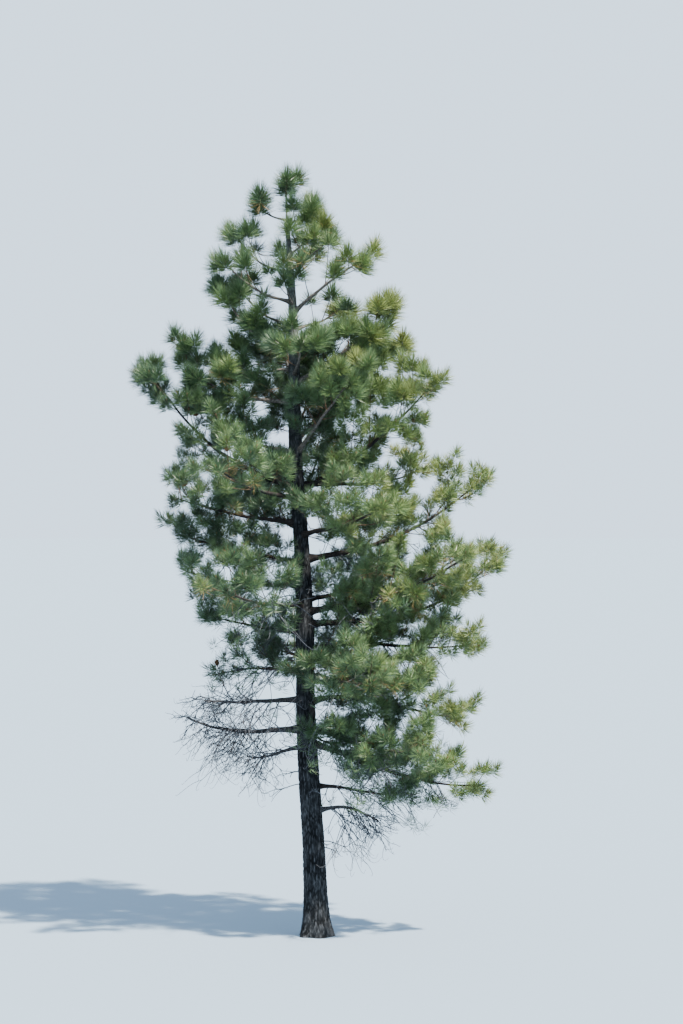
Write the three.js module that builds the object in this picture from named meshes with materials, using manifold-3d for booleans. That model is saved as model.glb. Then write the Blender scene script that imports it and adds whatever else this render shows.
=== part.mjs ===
// A young open-grown yellow pine: a leaning tapered trunk with a root flare, curved boughs that
// turn up at their ends, and long-needled foliage held in tufts at the tips of the twigs.
// Millimetres, +Z up. The origin is the centre of the flat cut at ground level, +X is to the right
// and +Y is to the back. Azimuths are degrees from +X, turning towards +Y.
import * as THREE from 'three';
import { mergeVertices } from 'three/addons/utils/BufferGeometryUtils.js';
import Module from 'manifold-3d';

// Driving dimensions of the trunk.
const TRUNK_HEIGHT = 11285;
const TRUNK_RADIUS = 188;
const TRUNK_TIP_RADIUS = 15;
const TRUNK_TAPER = 0.58;
const LEAN = -0.0393;
const SWAY = 22;
const SWAY_LENGTH = 4300;
const FLARE = 92;
const FLARE_HEIGHT = 290;
const ROOT_LOBES = 5;
const LOBE_DEPTH = 0.09;
const LOBE_HEIGHT = 420;
const TRUNK_SIDES = 12;
const TRUNK_STEPS = 18;
const RING_CROWDING = 1.8;

// Driving dimensions of the limbs. A dead one has lost its finer end, so it is stouter for its length.
const LIMB_RADIUS_BASE = 10;
const LIMB_RADIUS_PER_LENGTH = 0.0135;
const LIMB_TIP_RADIUS = 9;
const DEAD_LIMB_STOUTNESS = 1.4;
const LIMB_BEND = 0.36;
const BOUGH_SIDES = 6;
const BOUGH_STEPS = 6;
const STEM_SIDES = 4;
const STEM_STEPS = 4;
const LEADER_LENGTH = 470;
const LEADER_SPREAD = 330;

// Driving dimensions of the twigs: how far apart they leave a stem, how much that varies, the room
// left before the tip, how they roll round the stem, their angle to it, how much longer the inner
// ones are, and how far each one turns up.
const TWIG_RADIUS = 10;
const TWIG_SPACING = 185;
const TWIG_SPACING_SWING = 0.3;
const TWIG_TIP_ROOM = 0.25;
const TWIG_ROLLS = [72, -72, 8, 116, -116];
const TWIG_ROLL_SWING = 30;
const TWIG_ANGLE = 52;
const TWIG_ANGLE_SWING = 14;
const TWIG_INNER_LENGTH = 1.35;
const TWIG_OUTER_LENGTH = 0.65;
const TWIG_LENGTH_SWING = 0.3;
const TWIG_ELBOW = 0.55;
const TWIG_LIFT = 0.34;
const TWIG_SIDES = 3;

// Driving dimensions of the tufts: the reach of the needles, their angles to the twig at the front
// and the back, and the slim core that they stand out of, as shares of the reach.
const TUFT_REACH = 320;
const TUFT_REACH_SWING = 0.2;
const NEEDLE_SWING = 0.2;
const NEEDLE_LONGEST = 1.04;
const NEEDLE_ANGLE_FRONT = 34;
const NEEDLE_ANGLE_BACK = 76;
const CORE_RADIUS = 0.2;
const CORE_FRONT = 0.5;
const CORE_BACK = 0.3;
const TUFT_SIDES = 4;
const TUFT_LIFT = 0.25;

// Room between neighbours, and the crown's seed.
const TUFT_ROOM = 300;
const JOINT_GAP = 0.3;
const CLEARANCE = 6;
const FLATTENING = 1.5;
const OBSTACLE_STEPS = 12;
const CROWN_SEED = 41;
const SEED_STEP = 17;

// One row for each limb, from the top down: name, height of its root, azimuth, horizontal reach
// and rise of its tip, slope where it leaves the trunk and where it ends, the share of its length
// that is bare, the spread of its side twigs, its foliage, and whether the bare part is a bough.
const LIMBS = [
  ['top_left', 11180, 184, 460, 250, 0.3, 1.3, 0.3, 360, 'green', false],
  ['top_right', 11130, 16, 400, 200, 0.5, 1.3, 0.3, 320, 'green', false],
  ['top_front', 11020, 330, 340, 230, 0.5, 1.0, 0.3, 330, 'green', false],
  ['upper_front', 10650, 312, 520, 260, 0.4, 0.7, 0.3, 340, 'green', false],
  ['upper_right', 10440, 345, 690, 480, 0.4, 1.0, 0.3, 390, 'green', false],
  ['upper_left', 10375, 172, 900, 620, 0.1, 1.5, 0.35, 390, 'green', false],
  ['upper_back', 10200, 80, 900, 560, 0.4, 1.0, 0.3, 370, 'green', false],
  ['head_left_1', 9900, 199, 1130, 640, 0.2, 1.2, 0.38, 370, 'green', false],
  ['head_front', 9850, 258, 640, 400, 0.4, 0.8, 0.25, 320, 'green', false],
  ['head_right', 9720, 325, 1340, 780, 0.8, 0.5, 0.16, 420, 'green', false],
  ['head_left_2', 9560, 163, 960, 680, 0.12, 1.5, 0.4, 350, 'green', false],
  ['head_back', 9450, 50, 1150, 450, 0.4, 0.8, 0.2, 400, 'green', false],
  ['long_left_1', 9200, 186, 1180, 980, 0.12, 2.0, 0.6, 330, 'green', false],
  ['shoulder_left', 8840, 160, 1150, 90, 0.1, 0.5, 0.16, 420, 'green', false],
  ['shoulder_back', 8800, 97, 1450, 350, 0.3, 0.5, 0.2, 460, 'green', false],
  ['shoulder_front', 8750, 277, 1150, 500, 0.4, 0.8, 0.25, 410, 'green', false],
  ['long_right_1', 8600, 352, 1560, 1240, 0.7, 1.2, 0.32, 440, 'green', false],
  ['long_left_2', 8330, 178, 1800, 700, 0.1, 1.1, 0.32, 520, 'green', true],
  ['upswept_back', 7800, 84, 1950, 850, 0.35, 0.7, 0.2, 570, 'green', false],
  ['upswept_right', 7750, 24, 1650, 1450, 0.7, 1.3, 0.25, 510, 'green', false],
  ['short_left', 7560, 206, 1300, 400, 0.1, 0.6, 0.25, 460, 'green', false],
  ['upswept_front', 7500, 314, 1300, 1180, 1.0, 0.8, 0.3, 450, 'green', false],
  ['level_right', 7050, 15, 2100, 280, 0.05, 0.5, 0.2, 610, 'green', false],
  ['long_left_3', 6970, 181, 2290, 1830, 0.4, 1.6, 0.3, 610, 'green', true],
  ['long_right_2', 6930, 350, 2120, 1660, 0.5, 1.1, 0.36, 610, 'green', true],
  ['middle_back_1', 6900, 82, 2250, 700, 0.25, 0.6, 0.2, 610, 'green', false],
  ['middle_front_1', 6800, 238, 2250, 500, 0.2, 0.5, 0.25, 590, 'green', false],
  ['middle_left_1', 6450, 190, 1980, 400, 0.1, 0.35, 0.28, 600, 'green', false],
  ['middle_back_2', 6350, 112, 2350, 600, 0.2, 0.5, 0.2, 610, 'green', false],
  ['middle_front_2', 6250, 306, 2250, 520, 0.2, 0.5, 0.22, 590, 'green', false],
  ['long_right_3', 5875, 5, 2760, 1200, 0.15, 0.9, 0.38, 630, 'green', true],
  ['long_left_4', 5830, 174, 1980, 450, 0.15, 0.3, 0.32, 580, 'green', false],
  ['middle_left_2', 5480, 200, 1880, 220, 0.0, 0.3, 0.32, 550, 'green', false],
  ['middle_back_3', 5250, 47, 2250, 400, 0.1, 0.4, 0.22, 610, 'green', false],
  ['middle_front_3', 5150, 240, 2300, 320, 0.1, 0.4, 0.28, 590, 'green', false],
  ['long_right_4', 5060, 342, 2720, 950, 0.15, 0.7, 0.35, 630, 'green', true],
  ['long_right_5', 4860, 8, 2990, 980, 0.1, 1.0, 0.42, 610, 'green', true],
  ['lower_left_1', 4730, 184, 1580, 300, 0.12, 0.3, 0.3, 440, 'green', false],
  ['lower_right_1', 4430, 354, 2600, 140, 0.35, 0.2, 0.25, 640, 'green', false],
  ['lower_back', 4300, 100, 2250, 150, 0.05, 0.2, 0.25, 550, 'green', false],
  ['lower_front', 4100, 299, 2150, 0, 0.0, 0.2, 0.3, 540, 'green', false],
  ['lower_left_2', 4110, 166, 1480, -60, 0.1, -0.3, 0.25, 460, 'sparse', false],
  ['lower_right_2', 3990, 330, 2050, 20, -0.05, 0.2, 0.18, 610, 'green', false],
  ['dead_left_1', 3690, 190, 1600, 0, 0.0, 0.1, 0.42, 380, 'bare', false],
  ['lower_right_3', 3620, 352, 2450, -180, 0.4, 0.0, 0.46, 600, 'green', false],
  ['low_right_1', 3240, 330, 2150, -300, -0.12, 0.1, 0.22, 600, 'green', false],
  ['dead_left_2', 3230, 180, 1880, 190, -0.02, 0.5, 0.5, 380, 'bare', false],
  ['low_front', 3180, 298, 950, -120, -0.1, 0.0, 0.35, 320, 'green', false],
  ['low_right_2', 3030, 354, 2750, -640, -0.3, 0.1, 0.26, 590, 'green', false],
  ['lowest_right', 2330, 12, 1700, -160, 0.05, 0.1, 0.2, 380, 'sparse', false],
  ['broken_bough', 1900, 338, 1120, -60, 0.5, -0.5, 1.0, 0, 'broken', true],
  ['dead_left_3', 2960, 192, 950, -140, -0.05, 0.3, 0.25, 340, 'bare', false],
];

const wasm = await Module();
wasm.setup();

const UP = new THREE.Vector3(0, 0, 1);
const radians = THREE.MathUtils.degToRad;
const clamp = THREE.MathUtils.clamp;

const BARK = new THREE.MeshStandardMaterial({ color: 0x4b4642, roughness: 0.95, metalness: 0 });
const BOUGH_BARK = new THREE.MeshStandardMaterial({ color: 0x5a4f47, roughness: 0.92, metalness: 0 });
const NEEDLES = new THREE.MeshStandardMaterial({ color: 0x54703c, roughness: 0.6, metalness: 0 });
const DEAD_WOOD = new THREE.MeshStandardMaterial({ color: 0x6d6862, roughness: 0.95, metalness: 0 });

// A repeatable stream of numbers from 0 to 1.
function seededRandom(seed) {
  let state = seed >>> 0;
  return () => {
    state = (state + 0x6d2b79f5) >>> 0;
    let mixed = Math.imul(state ^ (state >>> 15), state | 1);
    mixed ^= mixed + Math.imul(mixed ^ (mixed >>> 7), mixed | 61);
    return ((mixed ^ (mixed >>> 14)) >>> 0) / 4294967296;
  };
}

function solidFrom(geometry) {
  geometry.deleteAttribute('normal');
  geometry.deleteAttribute('uv');
  const merged = mergeVertices(geometry, 1e-3);
  return new wasm.Manifold(new wasm.Mesh({
    numProp: 3,
    vertProperties: merged.attributes.position.array,
    triVerts: new Uint32Array(merged.index.array),
  }));
}

function meshFrom(solid, name, material) {
  const made = solid.getMesh();
  const geometry = new THREE.BufferGeometry();
  geometry.setAttribute('position', new THREE.BufferAttribute(made.vertProperties, 3));
  geometry.setIndex(new THREE.BufferAttribute(made.triVerts, 1));
  geometry.computeVertexNormals();
  const mesh = new THREE.Mesh(geometry, material);
  mesh.name = name;
  return mesh;
}

// Joins pieces that reach into each other, and keeps the body that they make.
function fuse(solids) {
  const joined = solids.reduce((whole, piece) => whole.add(piece));
  return joined.decompose().reduce((best, body) => (body.volume() > best.volume() ? body : best));
}

// The trunk's centre line: a steady lean with a slight sway.
function trunkCentre(height) {
  const turn = (2 * Math.PI * height) / SWAY_LENGTH;
  return new THREE.Vector3(LEAN * height + SWAY * Math.sin(turn), SWAY * (1 - Math.cos(turn)), height);
}

function trunkRadius(height) {
  const left = clamp(1 - height / TRUNK_HEIGHT, 0, 1);
  const shaft = TRUNK_TIP_RADIUS + (TRUNK_RADIUS - TRUNK_TIP_RADIUS) * left ** TRUNK_TAPER;
  return shaft + FLARE * Math.exp(-height / FLARE_HEIGHT);
}

// The trunk as a stack of level rings, grown by a margin where it is used as a cutter.
function trunkSolid(margin) {
  const stretch = 1 + margin / TRUNK_HEIGHT;
  const geometry = new THREE.CylinderGeometry(1, 1, 1, TRUNK_SIDES, TRUNK_STEPS);
  const points = geometry.attributes.position;
  for (let i = 0; i < points.count; i += 1) {
    const height = TRUNK_HEIGHT * (points.getY(i) + 0.5) ** RING_CROWDING;
    const angle = Math.atan2(-points.getZ(i), points.getX(i));
    const lobe = 1 + LOBE_DEPTH * Math.cos(ROOT_LOBES * angle) * Math.exp(-height / LOBE_HEIGHT);
    const radius = trunkRadius(height) * lobe + margin;
    const centre = trunkCentre(height);
    const east = centre.x + points.getX(i) * radius;
    const north = centre.y - points.getZ(i) * radius;
    points.setXYZ(i, east, north, height * stretch);
  }
  return solidFrom(geometry);
}

// A limb's centre line, from the trunk's heart to the end of its stem.
function limbCurve(limb) {
  const outward = new THREE.Vector3(Math.cos(limb.azimuth), Math.sin(limb.azimuth), 0);
  const root = trunkCentre(limb.height);
  const tip = root.clone().addScaledVector(outward, limb.reach).addScaledVector(UP, limb.rise);
  const run = LIMB_BEND * limb.reach;
  const leaving = root.clone().addScaledVector(outward, run).addScaledVector(UP, run * limb.leave);
  const arriving = tip.clone().addScaledVector(outward, -run).addScaledVector(UP, -run * limb.arrive);
  return new THREE.CubicBezierCurve3(root, leaving, arriving, tip);
}

// A tapering rod along part of a curve, as a closed geometry.
function rod(curve, from, to, startRadius, endRadius, sides, steps) {
  const geometry = new THREE.CylinderGeometry(endRadius, startRadius, 1, sides, steps);
  const points = geometry.attributes.position;
  for (let i = 0; i < points.count; i += 1) {
    const share = from + (to - from) * (points.getY(i) + 0.5);
    const along = curve.getTangent(share);
    const side = along.clone().cross(UP).normalize();
    const over = side.clone().cross(along);
    const point = curve.getPoint(share);
    point.addScaledVector(side, points.getX(i)).addScaledVector(over, points.getZ(i));
    points.setXYZ(i, point.x, point.y, point.z);
  }
  return geometry;
}

// A tuft of needles: a slim core along the twig with a pointed needle standing on each face.
function tuft(centre, direction, reach, random) {
  const core = new THREE.SphereGeometry(1, TUFT_SIDES, 2).toNonIndexed().attributes.position;
  const faces = [];
  for (let i = 0; i < core.count; i += 3) {
    const corners = [0, 1, 2].map((k) => new THREE.Vector3().fromBufferAttribute(core, i + k));
    const middle = corners[0].clone().add(corners[1]).add(corners[2]);
    const opening = radians(middle.y > 0 ? NEEDLE_ANGLE_FRONT : NEEDLE_ANGLE_BACK);
    const length = reach * (NEEDLE_LONGEST - NEEDLE_SWING * random());
    const point = new THREE.Vector3(middle.x, 0, middle.z).setLength(length * Math.sin(opening));
    point.y = length * Math.cos(opening);
    const [a, b, c] = corners.map((corner) => new THREE.Vector3(
      corner.x * CORE_RADIUS,
      corner.y * (corner.y > 0 ? CORE_FRONT : CORE_BACK),
      corner.z * CORE_RADIUS,
    ).multiplyScalar(reach));
    faces.push(a, b, point, b, c, point, c, a, point);
  }
  const twigAxis = new THREE.Vector3(0, 1, 0);
  const turn = new THREE.Quaternion().setFromUnitVectors(twigAxis, direction);
  turn.multiply(new THREE.Quaternion().setFromAxisAngle(twigAxis, 2 * Math.PI * random()));
  const placed = faces.map((corner) => corner.clone().applyQuaternion(turn).add(centre));
  return new THREE.BufferGeometry().setFromPoints(placed);
}

// Reads a row of the table, and works out the limb's own sizes from its length.
function limbFrom(row, index) {
  const [name, height, azimuth, reach, rise, leave, arrive, bare, spread, foliage, bough] = row;
  const limb = { name, height, reach, rise, leave, arrive, bare, spread, foliage, bough };
  limb.azimuth = radians(azimuth);
  limb.curve = limbCurve(limb);
  limb.length = limb.curve.getLength();
  const stout = foliage === 'bare' || foliage === 'broken' ? DEAD_LIMB_STOUTNESS : 1;
  const tipRadius = stout * LIMB_TIP_RADIUS;
  limb.radius = stout * (LIMB_RADIUS_BASE + LIMB_RADIUS_PER_LENGTH * limb.length);
  limb.radiusAt = (share) => limb.radius + (tipRadius - limb.radius) * share;
  limb.seed = CROWN_SEED + SEED_STEP * index;
  return limb;
}

// The side twigs of a stem by the seeded rule: left, right, over, low left and low right in turn,
// long near the start of the foliage and short near the tip, each turning up at its end.
function twigsOf(mass) {
  const random = seededRandom(mass.seed);
  const swing = (width) => width * (random() - 0.5);
  const clothed = 1 - mass.bare;
  const count = Math.max(2, Math.round((mass.length * clothed) / TWIG_SPACING));
  const twigs = [];
  for (let k = 0; k < count; k += 1) {
    const ripeness = (k + 0.5 + swing(TWIG_SPACING_SWING)) / (count + TWIG_TIP_ROOM);
    const share = mass.bare + clothed * ripeness;
    const roll = radians(TWIG_ROLLS[k % TWIG_ROLLS.length] + swing(TWIG_ROLL_SWING));
    const angle = radians(TWIG_ANGLE + swing(TWIG_ANGLE_SWING));
    const ripe = TWIG_INNER_LENGTH + (TWIG_OUTER_LENGTH - TWIG_INNER_LENGTH) * ripeness;
    const length = mass.spread * ripe * (1 + swing(TWIG_LENGTH_SWING));
    const along = mass.curve.getTangent(share);
    const side = along.clone().cross(UP).normalize();
    const over = side.clone().cross(along);
    const away = side.multiplyScalar(Math.sin(roll)).addScaledVector(over, Math.cos(roll));
    const heading = along.multiplyScalar(Math.cos(angle)).addScaledVector(away, Math.sin(angle));
    const start = mass.curve.getPoint(share);
    const elbow = start.clone().addScaledVector(heading, TWIG_ELBOW * length);
    const end = start.clone().addScaledVector(heading, length).addScaledVector(UP, TWIG_LIFT * length);
    twigs.push({ curve: new THREE.QuadraticBezierCurve3(start, elbow, end), random });
  }
  return twigs;
}

// A limb or the trunk as short straight lines with a radius, which foliage has to miss.
function obstaclesOf(pointAt, radiusAt, from, to, owner) {
  const lines = [];
  for (let i = 0; i < OBSTACLE_STEPS; i += 1) {
    const a = from + ((to - from) * i) / OBSTACLE_STEPS;
    const b = from + ((to - from) * (i + 1)) / OBSTACLE_STEPS;
    lines.push({ line: new THREE.Line3(pointAt(a), pointAt(b)), radius: radiusAt(a), owner });
  }
  return lines;
}

const limbs = LIMBS.map(limbFrom);
const masses = limbs.filter((limb) => limb.foliage !== 'broken');

// The leader carries on from the trunk's tip, with the same lean.
const leaderPoint = (share) => {
  const rise = JOINT_GAP + share * LEADER_LENGTH;
  return trunkCentre(TRUNK_HEIGHT).add(new THREE.Vector3(LEAN * rise, 0, rise));
};

const leader = {
  name: 'leader',
  foliage: 'green',
  spread: LEADER_SPREAD,
  bare: 0,
  bough: false,
  seed: CROWN_SEED - SEED_STEP,
  curve: new THREE.CubicBezierCurve3(...[0, 0.33, 0.67, 1].map(leaderPoint)),
};
leader.length = leader.curve.getLength();
leader.radiusAt = (share) => TRUNK_TIP_RADIUS + (LIMB_TIP_RADIUS - TRUNK_TIP_RADIUS) * share;
masses.push(leader);

// Each mass keeps to its own space: the points that lie nearer to its own stem than to any other's,
// with heights stretched so that the spaces are flatter than they are wide.
function stretched(point) {
  return new THREE.Vector3(point.x, point.y, point.z * FLATTENING);
}

masses.forEach((mass) => {
  const [start, end] = [mass.bare, 1].map((share) => stretched(mass.curve.getPoint(share)));
  mass.stem = new THREE.Line3(start, end);
});

function keepsToItsSpace(mass, point) {
  const place = stretched(point);
  const nearest = new THREE.Vector3();
  const distance = (other) => other.stem.closestPointToPoint(place, true, nearest).distanceTo(place);
  const own = distance(mass);
  return masses.every((other) => other === mass || distance(other) > own + CLEARANCE);
}

// Everything woody that foliage has to miss. A mass's own stem is no obstacle to it.
const obstacles = obstaclesOf(trunkCentre, trunkRadius, 0, TRUNK_HEIGHT, null);
limbs.forEach((limb) => {
  const owner = limb.foliage === 'broken' ? null : limb.name;
  const point = (t) => limb.curve.getPoint(t);
  const split = limb.bough ? limb.bare : 0;
  if (split > 0) obstacles.push(...obstaclesOf(point, limb.radiusAt, 0, split, null));
  if (split < 1) obstacles.push(...obstaclesOf(point, limb.radiusAt, split, 1, owner));
});

function missesLimbs(mass, line, radius) {
  return obstacles.every((other) => {
    if (other.owner === mass.name) return true;
    const reach = other.radius + radius + CLEARANCE;
    return other.line.distanceSqToLine3(line) > reach * reach;
  });
}

// A twig with its tuft, or nothing where it would leave its mass's space, crowd a tuft of its own
// mass, or touch a limb or the foliage of another mass.
function clothedTwig(mass, twig, others) {
  const end = twig.curve.getPoint(1);
  if (mass.tufts.some((place) => place.distanceTo(end) < TUFT_ROOM)) return [];
  const middle = twig.curve.getPoint(0.5);
  const line = new THREE.Line3(twig.curve.getPoint(0), end);
  if (!missesLimbs(mass, line, TWIG_RADIUS)) return [];
  if (!keepsToItsSpace(mass, middle) || !keepsToItsSpace(mass, end)) return [];
  const pieces = [rod(twig.curve, 0, 1, TWIG_RADIUS, 0, TWIG_SIDES, 1)];
  if (mass.foliage !== 'bare') {
    const heading = twig.curve.getTangent(1).addScaledVector(UP, TUFT_LIFT).normalize();
    const reach = TUFT_REACH * (1 + TUFT_REACH_SWING * (twig.random() - 0.5));
    const needles = tuft(end, heading, reach, twig.random);
    const points = needles.attributes.position;
    for (let i = 2; i < points.count; i += 3) {
      const point = new THREE.Vector3().fromBufferAttribute(points, i);
      if (!missesLimbs(mass, new THREE.Line3(end, point), 0.5 * CORE_RADIUS * reach)) return [];
    }
    pieces.push(needles);
  }
  const solids = pieces.map(solidFrom);
  if (solids.some((solid) => others.some((other) => !solid.intersect(other).isEmpty()))) return [];
  mass.tufts.push(end);
  return solids;
}

function massSolid(mass, cutter, others) {
  const start = mass.bough ? mass.bare + JOINT_GAP / mass.length : 0;
  const [thick, thin] = [mass.radiusAt(start), mass.radiusAt(1)];
  const stem = rod(mass.curve, start, 1, thick, thin, STEM_SIDES, STEM_STEPS);
  const random = seededRandom(mass.seed + 1);
  const tip = mass.curve.getPoint(1);
  const heading = mass.curve.getTangent(1);
  const pieces = [solidFrom(stem).subtract(cutter)];
  mass.tufts = [tip];
  if (mass.foliage !== 'bare') pieces.push(solidFrom(tuft(tip, heading, TUFT_REACH, random)));
  const twigs = twigsOf(mass).filter((twig, k) => mass.foliage !== 'sparse' || k % 2 === 0);
  twigs.forEach((twig) => pieces.push(...clothedTwig(mass, twig, others)));
  return fuse(pieces);
}

function boughSolid(limb, cutter) {
  const thin = limb.radiusAt(limb.bare);
  const whole = rod(limb.curve, 0, limb.bare, limb.radius, thin, BOUGH_SIDES, BOUGH_STEPS);
  return fuse([solidFrom(whole).subtract(cutter)]);
}

const cutter = trunkSolid(JOINT_GAP);
const tree = new THREE.Group();
tree.add(meshFrom(trunkSolid(0), 'trunk', BARK));

const boughs = new THREE.Group();
limbs.filter((limb) => limb.bough).forEach((limb) => {
  boughs.add(meshFrom(boughSolid(limb, cutter), `bough_${limb.name}`, BOUGH_BARK));
});
tree.add(boughs);

const crown = new THREE.Group();
const grown = [];
masses.forEach((mass) => {
  const solid = massSolid(mass, cutter, grown);
  grown.push(solid);
  const [kind, material] = mass.foliage === 'bare' ? ['twigs', DEAD_WOOD] : ['needles', NEEDLES];
  crown.add(meshFrom(solid, `${kind}_${mass.name}`, material));
});
tree.add(crown);

export default tree;
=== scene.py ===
import math

import bmesh
import bpy
import numpy as np
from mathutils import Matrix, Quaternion, Vector, noise


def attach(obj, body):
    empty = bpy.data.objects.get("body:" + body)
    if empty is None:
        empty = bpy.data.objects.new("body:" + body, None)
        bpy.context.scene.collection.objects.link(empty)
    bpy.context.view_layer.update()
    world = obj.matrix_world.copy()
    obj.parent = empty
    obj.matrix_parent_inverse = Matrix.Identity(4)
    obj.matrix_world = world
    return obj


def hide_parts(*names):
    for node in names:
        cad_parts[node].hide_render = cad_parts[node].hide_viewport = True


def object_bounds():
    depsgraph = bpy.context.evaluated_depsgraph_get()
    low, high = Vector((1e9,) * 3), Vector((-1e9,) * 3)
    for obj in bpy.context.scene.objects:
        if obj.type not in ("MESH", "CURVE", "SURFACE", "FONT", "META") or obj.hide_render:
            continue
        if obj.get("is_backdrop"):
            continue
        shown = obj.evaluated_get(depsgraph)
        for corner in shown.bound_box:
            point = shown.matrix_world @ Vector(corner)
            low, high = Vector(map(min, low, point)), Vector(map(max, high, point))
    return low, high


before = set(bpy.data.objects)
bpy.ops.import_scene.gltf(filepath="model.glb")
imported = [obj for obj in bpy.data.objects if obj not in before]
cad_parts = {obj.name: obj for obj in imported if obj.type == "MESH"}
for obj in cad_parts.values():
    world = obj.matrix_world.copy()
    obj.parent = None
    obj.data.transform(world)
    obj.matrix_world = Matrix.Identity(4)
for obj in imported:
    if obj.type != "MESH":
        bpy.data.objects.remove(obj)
cad_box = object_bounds()

# Trunk. The real one tapers from a flared foot to a thin leader, leans to the left with a slight
# sway, and carries dark grey-brown bark in long plates with deep furrows between them.
TRUNK_HEIGHT = 11.285
TRUNK_RADIUS = 0.188
TRUNK_TIP_RADIUS = 0.015
TRUNK_TAPER = 0.58
LEAN = -0.0393
SWAY = 0.022
SWAY_LENGTH = 4.3
FLARE = 0.092
FLARE_HEIGHT = 0.29
ROOT_LOBES = 5
LOBE_DEPTH = 0.09
LOBE_HEIGHT = 0.42
BARK_SIDES = 112
BARK_RINGS = 640
BARK_CROWDING = 1.25
FURROW_DEPTH = 0.015
FURROW_EDGE = 0.4
FURROW_STRENGTH = 0.6
FURROW_DRIFT = 0.6
FURROW_DRIFT_FINENESS = 5.3
PLATE_WIDTH = 0.036
PLATE_STRETCH = 4.2
PLATE_BEND = 0.8
PLATE_BEND_FINENESS = 9
PLATE_BEND_SQUASH = 0.45
YOUNG_PLATE_WIDTH = 0.45
YOUNG_RELIEF = 0.3
ROUGHNESS = ((14, 0.004), (45, 0.002))
SWELL = 0.012
SWELL_FINENESS = 2.1
SWELL_SQUASH = 0.5
BARK_SEED = 7
noise.seed_set(BARK_SEED)


def trunk_centre(height):
    """The middle of the leaning, swaying trunk at this height."""
    turn = 2 * math.pi * height / SWAY_LENGTH
    return Vector((LEAN * height + SWAY * math.sin(turn), SWAY * (1 - math.cos(turn)), height))


def trunk_radius(height):
    """The trunk's radius at this height, without its bark's relief."""
    left = min(max(1 - height / TRUNK_HEIGHT, 0), 1)
    shaft = TRUNK_TIP_RADIUS + (TRUNK_RADIUS - TRUNK_TIP_RADIUS) * left ** TRUNK_TAPER
    return shaft + FLARE * math.exp(-height / FLARE_HEIGHT)


def piece_of(name, form):
    """A smooth mesh object from a finished bmesh."""
    mesh = bpy.data.meshes.new(name)
    form.to_mesh(mesh)
    form.free()
    mesh.shade_smooth()
    piece = bpy.data.objects.new(name, mesh)
    bpy.context.scene.collection.objects.link(piece)
    return piece


def roll_stem(form, sides, rings, place_at):
    """Rolls a grid into a closed stem of rings, each corner put where place_at(ring, angle) says."""
    sheet = bmesh.ops.create_grid(form, x_segments=sides, y_segments=rings, size=1)["verts"]
    for corner in sheet:
        ring = round((corner.co.y + 1) / 2 * rings)
        corner.co = place_at(ring, math.pi * (corner.co.x + 1))
    bmesh.ops.remove_doubles(form, verts=sheet, dist=1e-6)
    rims = [edge for edge in form.edges if edge.is_boundary]
    bmesh.ops.holes_fill(form, edges=rims, sides=0)


def plates(place, width, stretch):
    """How deep a point lies in a furrow between bark plates, from 0 on a plate to 1 in a furrow."""
    squashed = Vector((place.x, place.y, place.z * PLATE_BEND_SQUASH))
    bent = place + noise.noise_vector(squashed * PLATE_BEND_FINENESS) * PLATE_BEND * width
    near, far = noise.voronoi(Vector((bent.x / width, bent.y / width, bent.z / (width * stretch))))[0][:2]
    strength = FURROW_STRENGTH + FURROW_DRIFT * noise.noise(place * FURROW_DRIFT_FINENESS)
    return min(max(strength, 0), 1) * (1 - min((far - near) / FURROW_EDGE, 1))


furrows = {}


def bark_place(ring, angle):
    """A point of the trunk's bark, with its lobes, swells, plates and furrows."""
    height = TRUNK_HEIGHT * (ring / BARK_RINGS) ** BARK_CROWDING
    centre = trunk_centre(height)
    radius = trunk_radius(height)
    ripe = min(radius / TRUNK_RADIUS, 1)
    lobe = 1 + LOBE_DEPTH * math.cos(ROOT_LOBES * angle) * math.exp(-height / LOBE_HEIGHT)
    away = Vector((math.cos(angle), math.sin(angle), 0))
    place = centre + away * radius
    plate_width = PLATE_WIDTH * (YOUNG_PLATE_WIDTH + (1 - YOUNG_PLATE_WIDTH) * ripe)
    furrow = plates(place, plate_width, PLATE_STRETCH)
    rough = sum(noise.noise(place * fineness) * rise for fineness, rise in ROUGHNESS)
    squashed = Vector((place.x, place.y, place.z * SWELL_SQUASH))
    swell = noise.noise(squashed * SWELL_FINENESS) * SWELL
    relief = (YOUNG_RELIEF + (1 - YOUNG_RELIEF) * ripe) * (rough + swell) - FURROW_DEPTH * ripe * furrow
    bark = centre + away * (radius * lobe + relief)
    furrows[tuple(bark)] = furrow
    return bark


trunk_form = bmesh.new()
roll_stem(trunk_form, BARK_SIDES, BARK_RINGS, bark_place)
furrow_layer = trunk_form.verts.layers.float.new("furrow")
for corner in trunk_form.verts:
    corner[furrow_layer] = furrows[tuple(corner.co)]
trunk_bark = piece_of("trunk_bark", trunk_form)


def shader(name):
    """A new material, its graph of nodes and links, and its shader."""
    material = bpy.data.materials.new(name)
    material.use_nodes = True
    graph = material.node_tree
    return material, graph, graph.nodes["Principled BSDF"]


def effect_group(name, inputs, outputs):
    """A new shader node group with these sockets, what it is given, and what it puts out."""
    group = bpy.data.node_groups.new(name, "ShaderNodeTree")
    for side, sockets in (("INPUT", inputs), ("OUTPUT", outputs)):
        for socket, kind in sockets.items():
            group.interface.new_socket(socket, in_out=side, socket_type="NodeSocket" + kind)
    return group, group.nodes.new("NodeGroupInput").outputs, group.nodes.new("NodeGroupOutput").inputs


def ranged(graph, value, low, high, low_to=0.0, high_to=1.0):
    """A value of a graph stretched from one range to another, and held within it."""
    node = graph.nodes.new("ShaderNodeMapRange")
    for socket, number in (("From Min", low), ("From Max", high), ("To Min", low_to), ("To Max", high_to)):
        node.inputs[socket].default_value = number
    graph.links.new(value, node.inputs["Value"])
    return node.outputs["Result"]


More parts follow.
